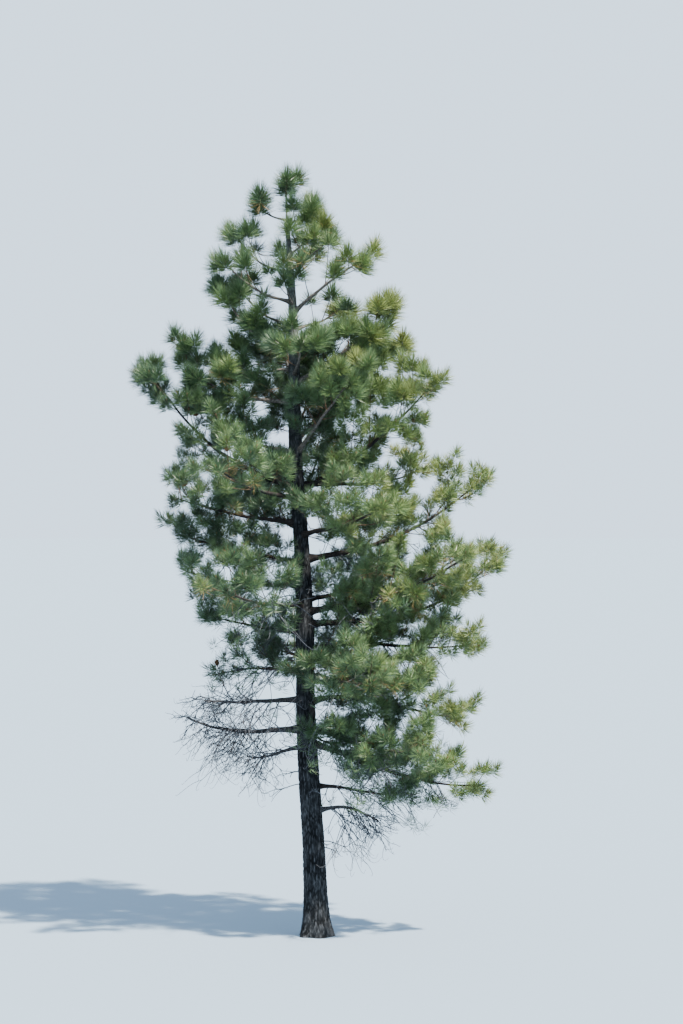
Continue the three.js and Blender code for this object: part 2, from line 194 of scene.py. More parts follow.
def blended(graph, share, first, second):
    """One colour of a graph turned into another by a share from 0 to 1."""
    node = graph.nodes.new("ShaderNodeMix")
    node.data_type = "RGBA"
    for socket, link in (("Factor", share), ("A", first), ("B", second)):
        graph.links.new(link, node.inputs[socket])
    return node.outputs["Result"]


def noise_node(graph, coordinates, detail, roughness):
    """A noise pattern on these coordinates, its scale still to be set."""
    node = graph.nodes.new("ShaderNodeTexNoise")
    node.inputs["Detail"].default_value = detail
    node.inputs["Roughness"].default_value = roughness
    graph.links.new(coordinates, node.inputs["Vector"])
    return node


# The bark effect: scales of three tones, drawn out upwards on the trunk, and the mesh's own furrows.
SCALE_DETAIL = 5.0
SCALE_ROUGHNESS = 0.7
PLATE_RANGE = (0.3, 0.47)
LIGHT_RANGE = (0.47, 0.7)
FURROW_RANGE = (0.05, 0.7)
bark_takes = {"Furrow": "Color", "Plate": "Color", "Light": "Color", "Scale": "Float", "Stretch": "Vector"}
bark_gives = {"Color": "Color", "Height": "Float"}
bark_effect, given, result = effect_group("scaly_bark", bark_takes, bark_gives)
stretched = bark_effect.nodes.new("ShaderNodeVectorMath")
stretched.operation = "MULTIPLY"
bark_effect.links.new(bark_effect.nodes.new("ShaderNodeTexCoord").outputs["Object"], stretched.inputs[0])
bark_effect.links.new(given["Stretch"], stretched.inputs[1])
scales = noise_node(bark_effect, stretched.outputs["Vector"], SCALE_DETAIL, SCALE_ROUGHNESS)
bark_effect.links.new(given["Scale"], scales.inputs["Scale"])
pattern = scales.outputs["Fac"]
plated = blended(bark_effect, ranged(bark_effect, pattern, *PLATE_RANGE), given["Furrow"], given["Plate"])
lit = blended(bark_effect, ranged(bark_effect, pattern, *LIGHT_RANGE), plated, given["Light"])
sunk = bark_effect.nodes.new("ShaderNodeAttribute")
sunk.attribute_name = "furrow"
depth = ranged(bark_effect, sunk.outputs["Fac"], *FURROW_RANGE)
furrowed = blended(bark_effect, depth, lit, given["Furrow"])
bark_effect.links.new(furrowed, result["Color"])
bark_effect.links.new(pattern, result["Height"])


def placed_bark(graph, furrow, plate, light, scale, stretch):
    """The bark effect in a material's graph with these tones and this size of scales."""
    effect = graph.nodes.new("ShaderNodeGroup")
    effect.node_tree = bark_effect
    for socket, tone in (("Furrow", furrow), ("Plate", plate), ("Light", light)):
        effect.inputs[socket].default_value = (*tone, 1)
    effect.inputs["Scale"].default_value = scale
    effect.inputs["Stretch"].default_value = (1, 1, stretch)
    return effect


def bark_material(name, furrow, plate, light, scale, stretch=1.0):
    """Matt bark in these tones, with scales of this size."""
    material, graph, surface = shader(name)
    effect = placed_bark(graph, furrow, plate, light, scale, stretch)
    bump = graph.nodes.new("ShaderNodeBump")
    bump.inputs["Strength"].default_value = 0.7
    bump.inputs["Distance"].default_value = 0.008
    graph.links.new(effect.outputs["Color"], surface.inputs["Base Color"])
    graph.links.new(effect.outputs["Height"], bump.inputs["Height"])
    graph.links.new(bump.outputs["Normal"], surface.inputs["Normal"])
    surface.inputs["Roughness"].default_value = 0.92
    surface.inputs["Specular IOR Level"].default_value = 0.1
    return material


TRUNK_TONES = ((0.003, 0.0035, 0.004), (0.016, 0.0175, 0.0195), (0.075, 0.078, 0.083))
TRUNK_SCALES = 30
TRUNK_STRETCH = 0.22
YOUNG_TONES = ((0.024, 0.027, 0.026), (0.07, 0.077, 0.073), (0.17, 0.175, 0.165))
YOUNG_SCALES = 34
YOUNG_STRETCH = 0.5
YOUNG_HEIGHTS = (7.2, 9.6)
bark = bark_material("bark", *TRUNK_TONES, TRUNK_SCALES, TRUNK_STRETCH)
# The young bark aloft is smoother, grey-brown and paler, and takes over between two heights.
graph = bark.node_tree
surface_color = graph.nodes["Principled BSDF"].inputs["Base Color"]
young = placed_bark(graph, *YOUNG_TONES, YOUNG_SCALES, YOUNG_STRETCH)
axes = graph.nodes.new("ShaderNodeSeparateXYZ")
graph.links.new(graph.nodes.new("ShaderNodeTexCoord").outputs["Object"], axes.inputs["Vector"])
youth = ranged(graph, axes.outputs["Z"], *YOUNG_HEIGHTS)
old = surface_color.links[0].from_socket
graph.links.new(blended(graph, youth, old, young.outputs["Color"]), surface_color)
trunk_bark.data.materials.append(bark)
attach(trunk_bark, "root")
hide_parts("trunk")

# Limbs. Each real bough leaves the trunk through a small collar, sweeps out and turns up at its
# end, with scaly bark that is browner and paler aloft, partly as young bark and partly as painted
# sunlight, and nearly black low down as painted shade. Every limb goes on as the stem of its mass
# of foliage.
# One row for each limb: name, root height, azimuth, reach, rise, slopes at both ends, bare share,
# spread of the side twigs, foliage, and whether the bare part is a bough of its own. Open foliage
# has no lesser twigs, and sparse foliage has thinner brushes.
LIMBS = [
    ("top_left", 11.18, 184, 0.46, 0.25, 0.3, 1.3, 0.3, 0.36, "green", False),
    ("top_right", 11.13, 16, 0.40, 0.20, 0.5, 1.3, 0.3, 0.32, "green", False),
    ("top_front", 11.02, 330, 0.34, 0.23, 0.5, 1.0, 0.3, 0.33, "green", False),
    ("upper_front", 10.65, 312, 0.52, 0.26, 0.4, 0.7, 0.3, 0.34, "green", False),
    ("upper_right", 10.44, 345, 0.69, 0.48, 0.4, 1.0, 0.3, 0.39, "green", False),
    ("upper_left", 10.375, 172, 0.90, 0.62, 0.1, 1.5, 0.35, 0.39, "green", False),
    ("upper_back", 10.20, 80, 0.90, 0.56, 0.4, 1.0, 0.3, 0.37, "green", False),
    ("head_left_1", 9.90, 199, 1.13, 0.64, 0.2, 1.2, 0.38, 0.37, "green", False),
    ("head_front", 9.85, 258, 0.64, 0.40, 0.4, 0.8, 0.25, 0.32, "green", False),
    ("head_right", 9.72, 325, 1.34, 0.78, 0.8, 0.5, 0.16, 0.42, "green", False),
    ("head_left_2", 9.56, 163, 0.96, 0.68, 0.12, 1.5, 0.4, 0.35, "green", False),
    ("head_back", 9.45, 50, 1.15, 0.45, 0.4, 0.8, 0.2, 0.40, "green", False),
    ("long_left_1", 9.20, 186, 1.18, 0.98, 0.12, 2.0, 0.6, 0.33, "green", False),
    ("shoulder_left", 8.84, 160, 1.15, 0.09, 0.1, 0.5, 0.16, 0.42, "green", False),
    ("shoulder_back", 8.80, 97, 1.45, 0.35, 0.3, 0.5, 0.2, 0.46, "green", False),
    ("shoulder_front", 8.75, 277, 1.15, 0.50, 0.4, 0.8, 0.25, 0.41, "green", False),
    ("long_right_1", 8.60, 352, 1.56, 1.24, 0.7, 1.2, 0.32, 0.44, "green", False),
    ("long_left_2", 8.33, 178, 1.80, 0.70, 0.1, 1.1, 0.32, 0.52, "green", True),
    ("upswept_back", 7.80, 84, 1.95, 0.85, 0.35, 0.7, 0.2, 0.57, "green", False),
    ("upswept_right", 7.75, 24, 1.65, 1.45, 0.7, 1.3, 0.25, 0.51, "green", False),
    ("short_left", 7.56, 206, 1.30, 0.40, 0.1, 0.6, 0.25, 0.46, "green", False),
    ("upswept_front", 7.50, 314, 1.30, 1.18, 1.0, 0.8, 0.3, 0.45, "green", False),
    ("level_right", 7.05, 15, 2.10, 0.28, 0.05, 0.5, 0.2, 0.61, "green", False),
    ("long_left_3", 6.97, 181, 2.29, 1.83, 0.4, 1.6, 0.3, 0.61, "green", True),
    ("long_right_2", 6.93, 350, 2.12, 1.66, 0.5, 1.1, 0.36, 0.61, "green", True),
    ("middle_back_1", 6.90, 82, 2.25, 0.70, 0.25, 0.6, 0.2, 0.61, "green", False),
    ("middle_front_1", 6.80, 238, 2.25, 0.50, 0.2, 0.5, 0.25, 0.59, "open", False),
    ("middle_left_1", 6.45, 190, 1.98, 0.40, 0.1, 0.35, 0.28, 0.60, "green", False),
    ("middle_back_2", 6.35, 112, 2.35, 0.60, 0.2, 0.5, 0.2, 0.61, "green", False),
    ("middle_front_2", 6.25, 306, 2.25, 0.52, 0.2, 0.5, 0.22, 0.59, "green", False),
    ("long_right_3", 5.875, 5, 2.76, 1.20, 0.15, 0.9, 0.38, 0.63, "green", True),
    ("long_left_4", 5.83, 174, 1.98, 0.45, 0.15, 0.3, 0.32, 0.58, "green", False),
    ("middle_left_2", 5.48, 200, 1.88, 0.22, 0.0, 0.3, 0.32, 0.55, "green", False),
    ("middle_back_3", 5.25, 47, 2.25, 0.40, 0.1, 0.4, 0.22, 0.61, "green", False),
    ("middle_front_3", 5.15, 240, 2.30, 0.32, 0.1, 0.4, 0.28, 0.59, "open", False),
    ("long_right_4", 5.06, 342, 2.72, 0.95, 0.15, 0.7, 0.35, 0.63, "green", True),
    ("long_right_5", 4.86, 8, 2.99, 0.98, 0.1, 1.0, 0.42, 0.61, "green", True),
    ("lower_left_1", 4.73, 184, 1.58, 0.30, 0.12, 0.3, 0.3, 0.44, "green", False),
    ("lower_right_1", 4.43, 354, 2.60, 0.14, 0.35, 0.2, 0.25, 0.64, "green", False),
    ("lower_back", 4.30, 100, 2.25, 0.15, 0.05, 0.2, 0.25, 0.55, "green", False),
    ("lower_front", 4.10, 299, 2.15, 0.00, 0.0, 0.2, 0.3, 0.54, "green", False),
    ("lower_left_2", 4.11, 166, 1.48, -0.06, 0.1, -0.3, 0.25, 0.46, "sparse", False),
    ("lower_right_2", 3.99, 330, 2.05, 0.02, -0.05, 0.2, 0.18, 0.61, "green", False),
    ("dead_left_1", 3.69, 190, 1.60, 0.00, 0.0, 0.1, 0.42, 0.38, "bare", False),
    ("lower_right_3", 3.62, 352, 2.45, -0.18, 0.4, 0.0, 0.46, 0.60, "green", False),
    ("low_right_1", 3.24, 330, 2.15, -0.30, -0.12, 0.1, 0.22, 0.60, "green", False),
    ("dead_left_2", 3.23, 180, 1.88, 0.19, -0.02, 0.5, 0.5, 0.38, "bare", False),
    ("low_front", 3.18, 298, 0.95, -0.12, -0.1, 0.0, 0.35, 0.32, "green", False),
    ("low_right_2", 3.03, 354, 2.75, -0.64, -0.3, 0.1, 0.26, 0.59, "green", False),
    ("lowest_right", 2.33, 12, 1.70, -0.16, 0.05, 0.1, 0.2, 0.38, "sparse", False),
    ("broken_bough", 1.90, 338, 1.12, -0.06, 0.5, -0.5, 1.0, 0.00, "broken", True),
    ("dead_left_3", 2.96, 192, 0.95, -0.14, -0.05, 0.3, 0.25, 0.34, "bare", False),
]
LIMB_RADIUS_BASE = 0.010
LIMB_RADIUS_PER_LENGTH = 0.0135
LIMB_TIP_RADIUS = 0.009
DEAD_LIMB_STOUTNESS = 1.4
LIMB_BEND = 0.36
LIMB_SIDES = 10
LIMB_RING_SPACING = 0.035
LIMB_LEAST_RINGS = 8
LENGTH_SAMPLES = 200
COLLAR = 0.6
COLLAR_LENGTH = 0.07
KNOTS = 0.14
KNOT_FINENESS = 9
LIMB_ROUGHNESS = 0.0022
LIMB_ROUGHNESS_FINENESS = 30
WANDER = 0.016
WANDER_FINENESS = 2.4
WANDER_SEED_STEP = 0.37
WANDER_FADE = 4
LEADER_LENGTH = 0.470
LEADER_SPREAD = 0.330
LEADER_STEPS = 8
LEADER_SIDES = 8
JOINT_GAP = 0.0003
CROWN_SEED = 41
SEED_STEP = 17
UP = Vector((0, 0, 1))


def seeded_random(seed):
    """The same repeatable stream of numbers from 0 to 1 as the CAD source's."""
    state = seed & 0xFFFFFFFF
    while True:
        state = (state + 0x6D2B79F5) & 0xFFFFFFFF
        mixed = ((state ^ (state >> 15)) * (state | 1)) & 0xFFFFFFFF
        mixed ^= (mixed + ((mixed ^ (mixed >> 7)) * (mixed | 61) & 0xFFFFFFFF)) & 0xFFFFFFFF
        yield (mixed ^ (mixed >> 14)) / 4294967296


def bezier(controls, share):
    """The point and the direction of a curve with 3 or 4 control points."""
    rest = 1 - share
    points = list(controls)
    while len(points) > 2:
        points = [a * rest + b * share for a, b in zip(points, points[1:])]
    return points[0] * rest + points[1] * share, (points[1] - points[0]).normalized()


def limb_from(row, index):
    """A row of the table as a limb, with its curve, its length, its radii and its seed."""
    name, height, azimuth, reach, rise, leave, arrive, bare, spread, foliage, bough = row
    azimuth = math.radians(azimuth)
    outward = Vector((math.cos(azimuth), math.sin(azimuth), 0))
    root = trunk_centre(height)
    tip = root + outward * reach + UP * rise
    run = LIMB_BEND * reach
    controls = (root, root + outward * run + UP * run * leave, tip - outward * run - UP * run * arrive, tip)
    samples = [bezier(controls, k / LENGTH_SAMPLES)[0] for k in range(LENGTH_SAMPLES + 1)]
    length = sum((b - a).length for a, b in zip(samples, samples[1:]))
    stout = DEAD_LIMB_STOUTNESS if foliage in ("bare", "broken") else 1
    return {
        "name": name, "controls": controls, "length": length, "bare": bare, "spread": spread,
        "foliage": foliage, "bough": bough, "seed": CROWN_SEED + SEED_STEP * index,
        "radius": stout * (LIMB_RADIUS_BASE + LIMB_RADIUS_PER_LENGTH * length),
        "tip_radius": stout * LIMB_TIP_RADIUS,
    }


def leader_point(share):
    """A point on the leader's stem, which goes on from the trunk's tip in line with its lean."""
    rise = JOINT_GAP + share * LEADER_LENGTH
    return trunk_centre(TRUNK_HEIGHT) + Vector((LEAN * rise, 0, rise))


limbs = [limb_from(row, index) for index, row in enumerate(LIMBS)]
leader = {
    "name": "leader", "controls": tuple(leader_point(share) for share in (0, 0.33, 0.67, 1)),
    "length": LEADER_LENGTH, "bare": 0, "spread": LEADER_SPREAD, "foliage": "green",
    "seed": CROWN_SEED - SEED_STEP,
}


def side_and_over(along):
    """The directions to the side of a stem and over it."""
    side = along.cross(UP).normalized()
    return side, side.cross(along)


def limb_line(limb, steps):
    """A limb's centre line with its slight wander, which fades out at the tip."""
    line = []
    for step in range(steps + 1):
        share = step / steps
        point = bezier(limb["controls"], share)[0]
        place = (share * limb["length"] * WANDER_FINENESS, limb["seed"] * WANDER_SEED_STEP, 0)
        wave = noise.noise_vector(Vector(place)) * WANDER
        line.append(point + wave * min(WANDER_FADE * share, 1) * min(WANDER_FADE * (1 - share), 1))
    return line


def add_limb(form, limb):
    """One limb as a rough stem, with its collar and knots, tapered to a blunt tip."""
    steps = max(LIMB_LEAST_RINGS, round(limb["length"] / LIMB_RING_SPACING))
    line = limb_line(limb, steps)

    def place_at(ring, angle):
        share = ring / steps
        centre = line[ring]
        along = (line[min(ring + 1, steps)] - line[max(ring - 1, 0)]).normalized()
        side, over = side_and_over(along)
        beyond = share * limb["length"] - trunk_radius(line[0].z)
        collar = 1 + COLLAR * math.exp(-max(beyond, 0) / COLLAR_LENGTH)
        place = Vector((share * limb["length"] * KNOT_FINENESS, limb["seed"], 5))
        knots = 1 + KNOTS * noise.noise(place)
        radius = (limb["radius"] + (limb["tip_radius"] - limb["radius"]) * share) * collar * knots
        point = centre + (side * math.cos(angle) + over * math.sin(angle)) * radius
        return point + noise.noise_vector(point * LIMB_ROUGHNESS_FINENESS) * LIMB_ROUGHNESS

    roll_stem(form, LIMB_SIDES, steps, place_at)


def limb_piece(name, group):
    """One piece of all the limbs of a group."""
    form = bmesh.new()
    for limb in group:
        add_limb(form, limb)
    return piece_of(name, form)


live_limbs = [limb for limb in limbs if limb["foliage"] in ("green", "open", "sparse")]
dead_limbs = [limb for limb in limbs if limb["foliage"] in ("bare", "broken")]
HIGH_LIMBS = 7.2
BOUGH_SCALES = 40
# Painted light and shade: the low limbs' near-black bark is painted shade, and the high limbs' paler tan
# bark is young bark with painted sunlight.
BOUGH_TONES = {
    "bough_bark_painted_shade_low": ((0.006, 0.006, 0.006), (0.015, 0.013, 0.013), (0.048, 0.039, 0.034)),
    "bough_bark_young_painted_light_high": ((0.024, 0.021, 0.019), (0.08, 0.071, 0.062), (0.23, 0.2, 0.17)),
}
for name, tones in BOUGH_TONES.items():
    high = name == "bough_bark_young_painted_light_high"
    group = [limb for limb in live_limbs if (limb["controls"][0].z > HIGH_LIMBS) == high]
    boughs = limb_piece(name, group)
    boughs.data.materials.append(bark_material(name, *tones, BOUGH_SCALES))
    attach(boughs, "root")
    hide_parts(*[f"bough_{limb['name']}" for limb in group if limb["bough"]])

# Twigs. Brown scaly shoots leave each stem by the CAD source's rule, left, right, over, low left and
# low right in turn, and turn up at their ends. Each carries finer shoots, and the longer limbs carry
# lesser twigs between the others and inwards of them.
TWIG_RADIUS = 0.008
TWIG_TIP_RADIUS = 0.0045
TWIG_SPACING = 0.185
TWIG_ROLLS = (72, -72, 8, 116, -116)
TWIG_ROLL_SWING = 30
TWIG_ANGLE = 52
TWIG_ANGLE_SWING = 14
TWIG_PLACE_SWING = 0.3
TWIG_END_ROOM = 0.25
TWIG_INNER_LENGTH = 1.35
TWIG_OUTER_LENGTH = 0.65
TWIG_LENGTH_SWING = 0.3
TWIG_ELBOW = 0.55
TWIG_LIFT = 0.34
TWIG_STEPS = 5
TWIG_SIDES = 5
LONG_LIMB = 1.6
LOW_CROWN = 5.2
LESSER_TWIGS = 0.7
LOW_LESSER_TWIGS = 1.1
LESSER_RADIUS = 0.8
LESSER_STEPS = 4
LESSER_SIDES = 4
LESSER_ANGLES = (54, 74)
LESSER_ROLL_SWING = 50
LESSER_INNER_LENGTH = 1.05
LESSER_SHORTENING = 0.65
LESSER_LENGTH_SWING = 0.4
LESSER_SEED = 5
INNER_TWIG_SPACING = 0.17
INNER_TWIG_ROLL = 80
INNER_TWIG_ROLL_SWING = 60
INNER_TWIG_START = 0.22
INNER_TWIG_LENGTH = 0.95
SHOOT_SPACING = 0.125
SHOOTLESS_LENGTH = 0.2
SHOOT_STRETCH = (0.42, 0.92)
SHOOT_STEPS = 3
SHOOT_SIDES = 4
SHOOT_INNER_LENGTH = 0.32
SHOOT_OUTER_LENGTH = 0.16
SHOOT_LENGTH_SWING = 0.5
SHOOT_ANGLE = 52
SHOOT_ANGLE_SWING = 16
SHOOT_TILTS = (-0.5, 0.8)
SHOOT_LIFT = 0.3
SHOOT_TIP_RADIUS = 0.0035
TIP_POINT = 0.6
TOP_HEIGHTS = (8.0, 9.8)
SHOOTLESS_VIGOUR = 0.85
THINNED_VIGOUR = 0.5
SHOOT_SEED_STEP = 31
LESSER_SHOOT_SEED_STEP = 57
TWIG_BRUSH = 1.0
INNER_BRUSH = 0.45
SHOOT_BRUSH = 0.9
LESSER_TWIG_BRUSH = 0.9
LESSER_SHOOT_BRUSH = 0.8
STEM_BRUSH = 1.1


def piece_from(name, points, faces, smooth=True):
    """A mesh object from an array of points and a list of arrays of faces of 3 or 4 corners."""
    mesh = bpy.data.meshes.new(name)
    points = np.asarray(points, dtype=np.float32)
    corners = np.concatenate([np.asarray(block, dtype=np.int32).ravel() for block in faces])
    sizes = np.concatenate([np.full(len(block), len(block[0]), dtype=np.int32) for block in faces])
    mesh.vertices.add(len(points))
    mesh.vertices.foreach_set("co", points.ravel())
    mesh.loops.add(len(corners))
    mesh.loops.foreach_set("vertex_index", corners)
    mesh.polygons.add(len(sizes))
    mesh.polygons.foreach_set("loop_start", np.cumsum(sizes) - sizes)
    mesh.polygons.foreach_set("use_smooth", np.full(len(sizes), smooth))
    mesh.update(calc_edges=True)
    mesh.validate()
    piece = bpy.data.objects.new(name, mesh)
    bpy.context.scene.collection.objects.link(piece)
    return piece


def tube_faces(rings, sides):
    """The quads between rings of points that follow each other."""
    ring, side = np.meshgrid(np.arange(rings - 1), np.arange(sides), indexing="ij")
    a = ring * sides + side
    b = ring * sides + (side + 1) % sides
    return np.stack([a, b, b + sides, a + sides], axis=-1).reshape(-1, 4)


def tube(line, radii, sides):
    """Rings of points round a line of points, and their quads, closed at the far end by a point."""
    points = []
    for k, (centre, radius) in enumerate(zip(line, radii)):
        along = line[min(k + 1, len(line) - 1)] - line[max(k - 1, 0)]
        side, over = side_and_over(along.normalized())
        for j in range(sides):
            angle = 2 * math.pi * j / sides
            points.append(centre + (over * math.sin(angle) - side * math.cos(angle)) * radius)
    rings = len(line)
    points.append(line[-1] + (line[-1] - line[-2]).normalized() * radii[-1] * TIP_POINT)
    end = len(points) - 1
    first = (rings - 1) * sides
    tip = [(first + j, first + (j + 1) % sides, end) for j in range(sides)]
    return points, tube_faces(rings, sides), np.array(tip)


def curve_tube(controls, steps, thick, thin, sides):
    """A tube along a curve, which tapers from thick to thin."""
    line = [bezier(controls, step / steps)[0] for step in range(steps + 1)]
    radii = [thick + (thin - thick) * step / steps for step in range(steps + 1)]
    return tube(line, radii, sides)


def joined(name, tubes):
    """One piece from many tubes."""
    points, quads, tips, total = [], [], [], 0
    for tube_points, tube_quads, tube_tips in tubes:
        points += tube_points
        quads.append(tube_quads + total)
        tips.append(tube_tips + total)
        total += len(tube_points)
    return piece_from(name, points, [np.concatenate(quads), np.concatenate(tips)])


def twig_from(stem, share, roll, angle, length):
    """A twig that leaves a stem at these angles and turns up at its end, as control points."""
    start, along = bezier(stem, share)
    side, over = side_and_over(along)
    away = side * math.sin(roll) + over * math.cos(roll)
    heading = along * math.cos(angle) + away * math.sin(angle)
    elbow = start + heading * TWIG_ELBOW * length
    return start, elbow, start + heading * length + UP * TWIG_LIFT * length


def swing(random, width):
    """A chance amount, up to half this width either way."""
    return width * (next(random) - 0.5)


def between(random, low, high):
    """A chance amount between these two."""
    return low + (high - low) * next(random)


def twigs_of(mass):
    """The source's side twigs of a stem."""
    random = seeded_random(mass["seed"])
    clothed = 1 - mass["bare"]
    count = max(2, math.floor(mass["length"] * clothed / TWIG_SPACING + 0.5))
    twigs = []
    for k in range(count):
        ripeness = (k + 0.5 + swing(random, TWIG_PLACE_SWING)) / (count + TWIG_END_ROOM)
        roll = math.radians(TWIG_ROLLS[k % len(TWIG_ROLLS)] + swing(random, TWIG_ROLL_SWING))
        angle = math.radians(TWIG_ANGLE + swing(random, TWIG_ANGLE_SWING))
        ripe = TWIG_INNER_LENGTH + (TWIG_OUTER_LENGTH - TWIG_INNER_LENGTH) * ripeness
        length = mass["spread"] * ripe * (1 + swing(random, TWIG_LENGTH_SWING))
        twigs.append(twig_from(mass["controls"], mass["bare"] + clothed * ripeness, roll, angle, length))
    return twigs


def lesser_twigs_of(mass):
    """Lesser twigs between the source's and inwards of them, on the limbs that are long enough."""
    if mass["length"] < LONG_LIMB or mass["foliage"] != "green":
        return []
    random = seeded_random(mass["seed"] + LESSER_SEED)

    def lesser(share, roll, length):
        angle = math.radians(between(random, *LESSER_ANGLES))
        length *= 1 + swing(random, LESSER_LENGTH_SWING)
        return twig_from(mass["controls"], share, math.radians(roll), angle, length)

    clothed = 1 - mass["bare"]
    fullness = LOW_LESSER_TWIGS if mass["controls"][0].z < LOW_CROWN else LESSER_TWIGS
    count = math.floor(fullness * mass["length"] * clothed / TWIG_SPACING + 0.5)
    twigs = []
    for k in range(count):
        ripeness = (k + 1) / (count + TWIG_END_ROOM)
        roll = TWIG_ROLLS[k % len(TWIG_ROLLS)] + 180 + swing(random, LESSER_ROLL_SWING)
        length = mass["spread"] * (LESSER_INNER_LENGTH - LESSER_SHORTENING * ripeness)
        twigs.append(lesser(mass["bare"] + clothed * ripeness, roll, length))
    inner = max(2, round(mass["bare"] * mass["length"] / INNER_TWIG_SPACING))
    for k in range(inner):
        hand = 1 if k % 2 else -1
        roll = hand * INNER_TWIG_ROLL + swing(random, INNER_TWIG_ROLL_SWING)
        share = INNER_TWIG_START + (1 - INNER_TWIG_START) * (k + 0.5) / inner
        twigs.append(lesser(share * mass["bare"], roll, INNER_TWIG_LENGTH * mass["spread"]))
    return twigs


def shoots_of(twig, seed):
    """Finer shoots on a twig, to its left and right in turn."""
    random = seeded_random(seed)
    count = max(0, round(((twig[-1] - twig[0]).length - SHOOTLESS_LENGTH) / SHOOT_SPACING))
    first, last = SHOOT_STRETCH
    shoots = []
    for k in range(count):
        share = first + (last - first) * (k + next(random)) / count
        start, along = bezier(twig, share)
        side, over = side_and_over(along)
        hand = 1 if (k + seed) % 2 else -1
        angle = math.radians(SHOOT_ANGLE + swing(random, SHOOT_ANGLE_SWING))
        away = (side * hand + over * between(random, *SHOOT_TILTS)).normalized()
        reach = SHOOT_INNER_LENGTH + (SHOOT_OUTER_LENGTH - SHOOT_INNER_LENGTH) * share
        reach *= 1 + swing(random, SHOOT_LENGTH_SWING)
        heading = along * math.cos(angle) + away * math.sin(angle)
        end = start + heading * reach + UP * SHOOT_LIFT * reach
        shoots.append((start, start + heading * TWIG_ELBOW * reach, end))
    return shoots


def twig_tube(twig):
    """A full-sized twig's tube."""
    return curve_tube(twig, TWIG_STEPS, TWIG_RADIUS, TWIG_TIP_RADIUS, TWIG_SIDES)


def shoot_tube(shoot):
    """A shoot's tube, as thin as a twig's tip."""
    return curve_tube(shoot, SHOOT_STEPS, TWIG_TIP_RADIUS, SHOOT_TIP_RADIUS, SHOOT_SIDES)


def vigour(controls):
    """From 0 low in the crown to 1 in its top, where needles are longer and brushes fuller."""
    return min(max((controls[-1].z - TOP_HEIGHTS[0]) / (TOP_HEIGHTS[1] - TOP_HEIGHTS[0]), 0), 1)


# Each brush of needles has its shoot, its size and its mass.
living = live_limbs + [leader]
leader_tube = curve_tube(leader["controls"], LEADER_STEPS, TRUNK_TIP_RADIUS, TWIG_RADIUS, LEADER_SIDES)
twig_tubes = [leader_tube]
brushes = []
for mass in living:
    twigs = twigs_of(mass)
    for k, twig in enumerate(twigs):
        aloft = vigour(twig)
        shoots = [] if aloft > SHOOTLESS_VIGOUR else shoots_of(twig, mass["seed"] + SHOOT_SEED_STEP * k)
        twig_tubes += [twig_tube(twig)] + [shoot_tube(shoot) for shoot in shoots]
        inner = aloft > THINNED_VIGOUR and k + 1 < 0.5 * len(twigs)
        brushes.append((twig, INNER_BRUSH if inner else TWIG_BRUSH, mass))
        brushes += [(shoot, SHOOT_BRUSH, mass) for shoot in shoots]
    for k, twig in enumerate(lesser_twigs_of(mass)):
        shoots = shoots_of(twig, mass["seed"] + LESSER_SHOOT_SEED_STEP * k)
        lesser_radius = LESSER_RADIUS * TWIG_RADIUS
        twig_tubes.append(curve_tube(twig, LESSER_STEPS, lesser_radius, TWIG_TIP_RADIUS, LESSER_SIDES))
        twig_tubes += [shoot_tube(shoot) for shoot in shoots]
        brushes.append((twig, LESSER_TWIG_BRUSH, mass))
        brushes += [(shoot, LESSER_SHOOT_BRUSH, mass) for shoot in shoots]
    brushes.append((mass["controls"], STEM_BRUSH, mass))

TWIG_TONES = ((0.02, 0.014, 0.01), (0.06, 0.042, 0.028), (0.16, 0.1, 0.06))
TWIG_SCALES = 60
twig_bark = joined("twig_bark", twig_tubes)
twig_bark.data.materials.append(bark_material("twig_bark", *TWIG_TONES, TWIG_SCALES))
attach(twig_bark, "root")
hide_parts(*[f"needles_{mass['name']}" for mass in living])

# Dead limbs. Low on the left three limbs have lost their needles and low on the right one bough is
# broken: dark weathered wood with a web of fine bare twigs that fork, sag and turn up again. More of
# these hang in the shade under the low living limbs, some with a thin spray of needles, and on the trunk.
DEAD_TWIG_SPACING = 0.04
SHADED_TWIG_SPACING = 0.12
LOWEST_TWIG_SPACING = 0.05
LOWEST_HEIGHT = 3.5
SHADED_HEIGHT = 6.0
DEAD_STRETCH = (0.2, 1.0)
SHADED_STRETCH = (0.12, 0.75)
SPARSE_STRETCH = (0.12, 0.95)
BARE_RADIUS = 0.0095
BARE_TAPER = 0.45
BARE_STEPS = 7
FINEST_STEPS = 6
BARE_SIDES = 3
BARE_ELBOW = 0.42
BARE_ELBOW_BEND = 0.6
BARE_TURN = 0.92
BARE_TURN_BEND = 0.9
BARE_TURN_DROOP = 1.5
BARE_LENGTH = 0.52
BARE_LENGTHS = (0.45, 1.45)
BARE_INNER_LENGTH = 1.25
BARE_SHORTENING = 0.75
BARE_ONWARDS = (0.4, 0.9)
BARE_TILTS = (-1.188, 1.012)
BARE_SEED = 7
DROOPS = (0.12, 0.5)
HOOKS = (-0.4, 1.1)
FORKS = 3
FORK_START = 0.2
FORK_SPACING = 0.22
FORK_SPREAD = 0.75
FORK_TILTS = (-0.88, 0.72)
FORK_LENGTHS = (0.5, 0.9)
FORK_RADIUS = 0.7
THIN_SPRAYS = 0.3
THIN_SPRAY_SEED = CROWN_SEED + 5
STUBS = 30
STUB_SEED = CROWN_SEED + 3
STUB_HEIGHTS = (1.3, 6.5)
STUB_LENGTHS = (0.08, 0.48)
STUB_RISE_SWING = 0.3
STUB_DEPTH = 0.9


